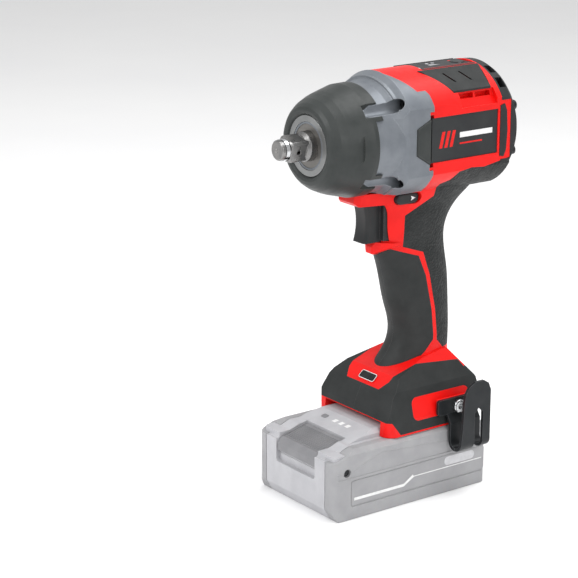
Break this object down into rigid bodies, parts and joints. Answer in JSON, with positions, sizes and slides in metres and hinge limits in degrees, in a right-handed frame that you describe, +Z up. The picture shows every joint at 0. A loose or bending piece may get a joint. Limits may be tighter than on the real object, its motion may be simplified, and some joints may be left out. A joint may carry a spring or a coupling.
{
  "type": "impact wrench",
  "caption": "Cordless pistol-grip impact wrench with a square drive, rubber nose boot, belt hook and a slide-on battery pack.",
  "frame": {"origin": "centre of the battery pack's underside, where the tool stands", "axes": "+Z up, -Y the way the square drive points, +X the tool's left side; the drive axis lies along Y at X = 0, Z = 221 mm"},
  "size_m": [0.089, 0.1618, 0.26],
  "materials": {
    "red_shell": "satin moulded",
    "grip_rubber": "soft, finely textured",
    "boot_rubber": "satin",
    "cast_case": "fine cast, satin",
    "black_plastic": "matte",
    "panel_plastic": "matte film",
    "drive_steel": "ground steel",
    "nose_steel": "turned steel",
    "bush_bronze": "oiled sinter bronze",
    "black_screw": "black oxide",
    "zinc_screw": "zinc plated",
    "hammer_steel": "forged, oiled",
    "spring_steel": "drawn wire",
    "gear_steel": "hardened",
    "bearing_steel": "polished",
    "stator_steel": "laminated",
    "copper_coil": "enamelled wire",
    "fan_nylon": "glass filled",
    "trigger_plastic": "fine grain",
    "switch_plastic": "moulded",
    "board_green": "circuit board",
    "contact_brass": "stamped",
    "hook_steel": "satin black coat",
    "pack_light": "fine grain",
    "pack_dark": "fine grain",
    "latch_grey": "ribbed",
    "gauge_grey": "gloss insert",
    "cell_wrap": "shrink sleeve",
    "o_ring": "soft"
  },
  "bodies": {
    "housing": {"housing_left": "red_shell", "housing_right": "red_shell", "grip_front_left": "grip_rubber", "grip_front_right": "grip_rubber", "grip_rear_left": "grip_rubber", "grip_rear_right": "grip_rubber", "foot_cover_left": "grip_rubber", "foot_cover_right": "grip_rubber", "rear_cap": "black_plastic", "rear_cap_screws": "black_screw", "side_bumpers": "boot_rubber", "side_panels": "panel_plastic", "rear_strips": "black_plastic", "ear_plates": "grip_rubber", "control_panel": "panel_plastic", "gear_case": "cast_case", "nose_boot": "boot_rubber", "nose_ring": "nose_steel", "anvil_bush": "bush_bronze", "gear_case_screws": "black_screw", "ring_gear": "gear_steel", "carrier_bearing": "bearing_steel", "motor_end_plate": "switch_plastic", "rotor_bearings": "bearing_steel", "stator_core": "stator_steel", "stator_windings": "copper_coil", "switch_body": "switch_plastic", "control_board": "board_green", "terminal_block": "switch_plastic", "terminal_blades": "contact_brass", "housing_screws": "black_screw", "belt_hook": "hook_steel", "belt_hook_screw": "zinc_screw"},
    "anvil": {"anvil": "drive_steel", "friction_ring": "bearing_steel", "friction_o_ring": "o_ring"},
    "spindle": {"spindle": "gear_steel", "planet_pins": "bearing_steel", "cam_balls": "bearing_steel", "spring_washer": "bearing_steel"},
    "planet_1": {"planet_gear_1": "gear_steel"},
    "planet_2": {"planet_gear_2": "gear_steel"},
    "planet_3": {"planet_gear_3": "gear_steel"},
    "hammer": {"hammer": "hammer_steel", "hammer_spring": "spring_steel"},
    "rotor": {"rotor_shaft": "gear_steel", "rotor_core": "stator_steel", "fan": "fan_nylon"},
    "trigger": {"trigger": "trigger_plastic"},
    "direction_lever": {"direction_lever": "trigger_plastic"},
    "mode_button": {"mode_button": "trigger_plastic"},
    "pack": {"battery_case": "pack_light", "battery_side_left": "pack_dark", "battery_side_right": "pack_dark", "gauge_panel": "gauge_grey", "battery_cells": "cell_wrap", "pack_board": "board_green", "pack_contacts": "contact_brass"},
    "pack_latch": {"battery_latch": "latch_grey"}
  },
  "joints": [
    {"name": "spindle_spin", "type": "hinge", "parent": "housing", "child": "spindle", "pos_m": [0, 0, 0.221], "axis": [0, 1, 0], "continuous": true},
    {"name": "anvil_spin", "type": "hinge", "parent": "housing", "child": "anvil", "pos_m": [0, -0.05, 0.221], "axis": [0, 1, 0], "continuous": true},
    {"name": "rotor_spin", "type": "hinge", "parent": "housing", "child": "rotor", "pos_m": [0, 0.04, 0.221], "axis": [0, 1, 0], "continuous": true},
    {"name": "planet_1_spin", "type": "hinge", "parent": "spindle", "child": "planet_1", "pos_m": [0, 0.0095, 0.2345], "axis": [0, 1, 0], "continuous": true},
    {"name": "planet_2_spin", "type": "hinge", "parent": "spindle", "child": "planet_2", "pos_m": [-0.01169, 0.0095, 0.21425], "axis": [0, 1, 0], "continuous": true},
    {"name": "planet_3_spin", "type": "hinge", "parent": "spindle", "child": "planet_3", "pos_m": [0.01169, 0.0095, 0.21425], "axis": [0, 1, 0], "continuous": true},
    {"name": "hammer_slide", "type": "slide", "parent": "spindle", "child": "hammer", "axis": [0, 1, 0], "range_m": [0, 0.008], "stiffness_N_per_m": 9000, "springref_m": -0.004, "deforming": ["hammer_spring"]},
    {"name": "trigger_pull", "type": "slide", "parent": "housing", "child": "trigger", "axis": [0, 1, 0], "range_m": [0, 0.006], "stiffness_N_per_m": 900, "springref_m": -0.003},
    {"name": "direction_shift", "type": "slide", "parent": "housing", "child": "direction_lever", "axis": [1, 0, 0], "range_m": [-0.003, 0.003]},
    {"name": "mode_press", "type": "slide", "parent": "housing", "child": "mode_button", "axis": [0, 0, -1], "range_m": [0, 0.0008], "stiffness_N_per_m": 1500, "springref_m": -0.0006},
    {"name": "pack_slide", "type": "slide", "parent": "housing", "child": "pack", "axis": [0, -1, 0], "range_m": [0, 0.1]},
    {"name": "latch_press", "type": "slide", "parent": "pack", "child": "pack_latch", "axis": [0, 0.2402, -0.9707], "range_m": [0, 0.002], "stiffness_N_per_m": 1500, "springref_m": -0.002}
  ],
  "couplings": [
    {"joint": "anvil_spin", "follows": "spindle_spin", "ratio": 1},
    {"joint": "rotor_spin", "follows": "spindle_spin", "ratio": 5},
    {"joint": "planet_1_spin", "follows": "spindle_spin", "ratio": -2.6667},
    {"joint": "planet_2_spin", "follows": "spindle_spin", "ratio": -2.6667},
    {"joint": "planet_3_spin", "follows": "spindle_spin", "ratio": -2.6667}
  ]
}
